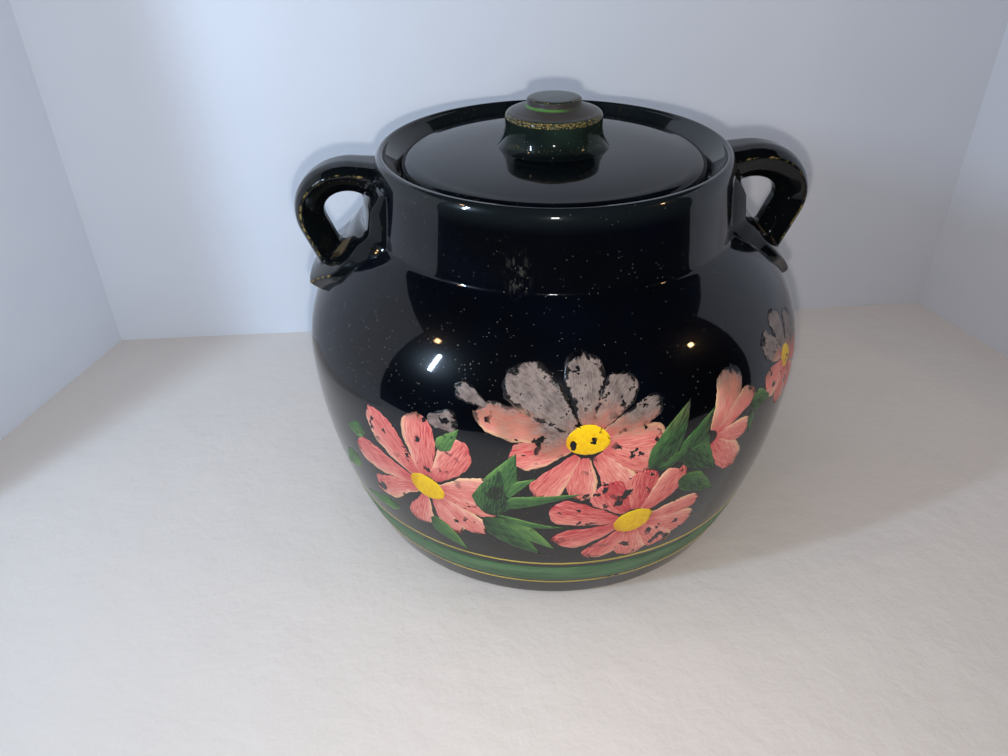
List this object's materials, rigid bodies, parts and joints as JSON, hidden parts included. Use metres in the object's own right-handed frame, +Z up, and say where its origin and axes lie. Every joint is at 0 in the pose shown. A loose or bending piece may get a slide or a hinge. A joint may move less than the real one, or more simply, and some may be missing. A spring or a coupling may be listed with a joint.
{
  "type": "bean pot",
  "caption": "Round-bellied stoneware bean pot with a short neck, strap handles and a lift-off lid that drops onto a ledge inside the neck.",
  "frame": {"origin": "middle of the foot, in the plane that the pot stands on", "axes": "+Z up through the knob, X through the two handles, -Y towards the painted front"},
  "size_m": [0.2172, 0.2172, 0.1842],
  "materials": {
    "black_glaze": "glossy black glaze with fine pale specks",
    "lid_glaze": "glossy black glaze, worn at the edge",
    "knob_glaze": "glossy dark green-black glaze, brown where it is thin",
    "bare_stoneware": "unglazed buff-brown stoneware",
    "pink_paint": "cold-painted enamel, streaked and chipped",
    "yellow_paint": "cold-painted enamel, chipped",
    "green_paint": "cold-painted enamel, streaked",
    "gold_paint": "thin dull gold lines, rubbed"
  },
  "bodies": {
    "pot": {"pot_body": "black_glaze", "left_handle": "black_glaze", "right_handle": "black_glaze"},
    "lid": {"lid_disc": "lid_glaze", "lid_knob": "knob_glaze"}
  },
  "joints": [
    {"name": "lid_lift", "type": "slide", "parent": "pot", "child": "lid", "axis": [0, 0, 1], "range_m": [0, 0.12]}
  ]
}
